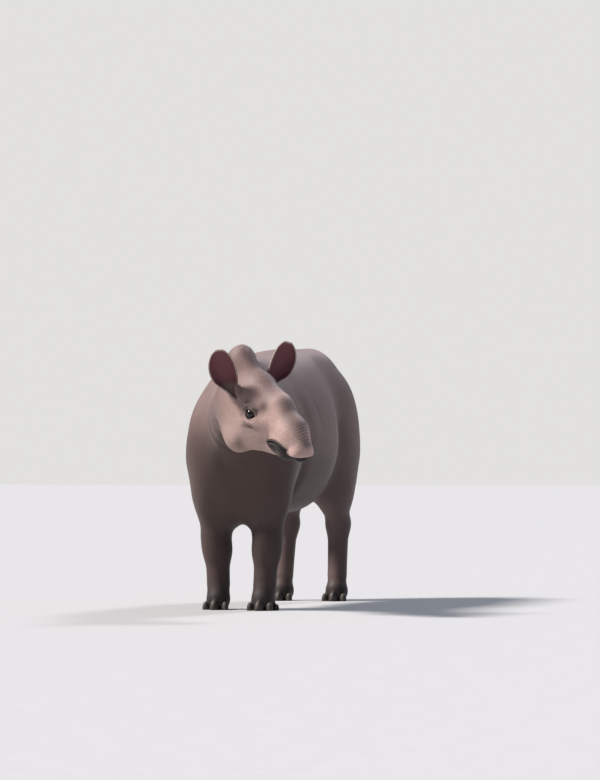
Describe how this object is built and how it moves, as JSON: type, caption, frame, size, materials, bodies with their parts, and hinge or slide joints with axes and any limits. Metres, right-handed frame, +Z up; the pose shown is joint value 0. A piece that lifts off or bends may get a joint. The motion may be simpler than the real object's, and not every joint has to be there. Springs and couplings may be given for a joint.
{
  "type": "south american tapir",
  "caption": "Standing South American (lowland) tapir, life size, head turned to its left, with a short crest mane, cupped ears and a drooping snout.",
  "frame": {"origin": "on the floor, under the middle of the animal's bounding box", "axes": "the animal faces -Y, its left side is +X, +Z up"},
  "size_m": [0.6426, 1.6374, 0.9569],
  "materials": {
    "hide": "short matte coat, greyish brown",
    "ear_skin": "dark, thinly haired skin",
    "horn": "dark hoof horn, satin",
    "eye": "wet, glossy, near black"
  },
  "bodies": {
    "root": {"eye_left": "eye", "eye_right": "eye", "ear_left": "ear_skin", "ear_right": "ear_skin", "head": "hide", "neck": "hide", "torso": "hide", "tail": "hide", "forehoof_left_1": "horn", "forehoof_left_2": "horn", "forehoof_left_3": "horn", "forehoof_left_4": "horn", "foreleg_left": "hide", "forehoof_right_1": "horn", "forehoof_right_2": "horn", "forehoof_right_3": "horn", "forehoof_right_4": "horn", "foreleg_right": "hide", "hindhoof_left_1": "horn", "hindhoof_left_2": "horn", "hindhoof_left_3": "horn", "hindleg_left": "hide", "hindhoof_right_1": "horn", "hindhoof_right_2": "horn", "hindhoof_right_3": "horn", "hindleg_right": "hide"}
  },
  "joints": []
}
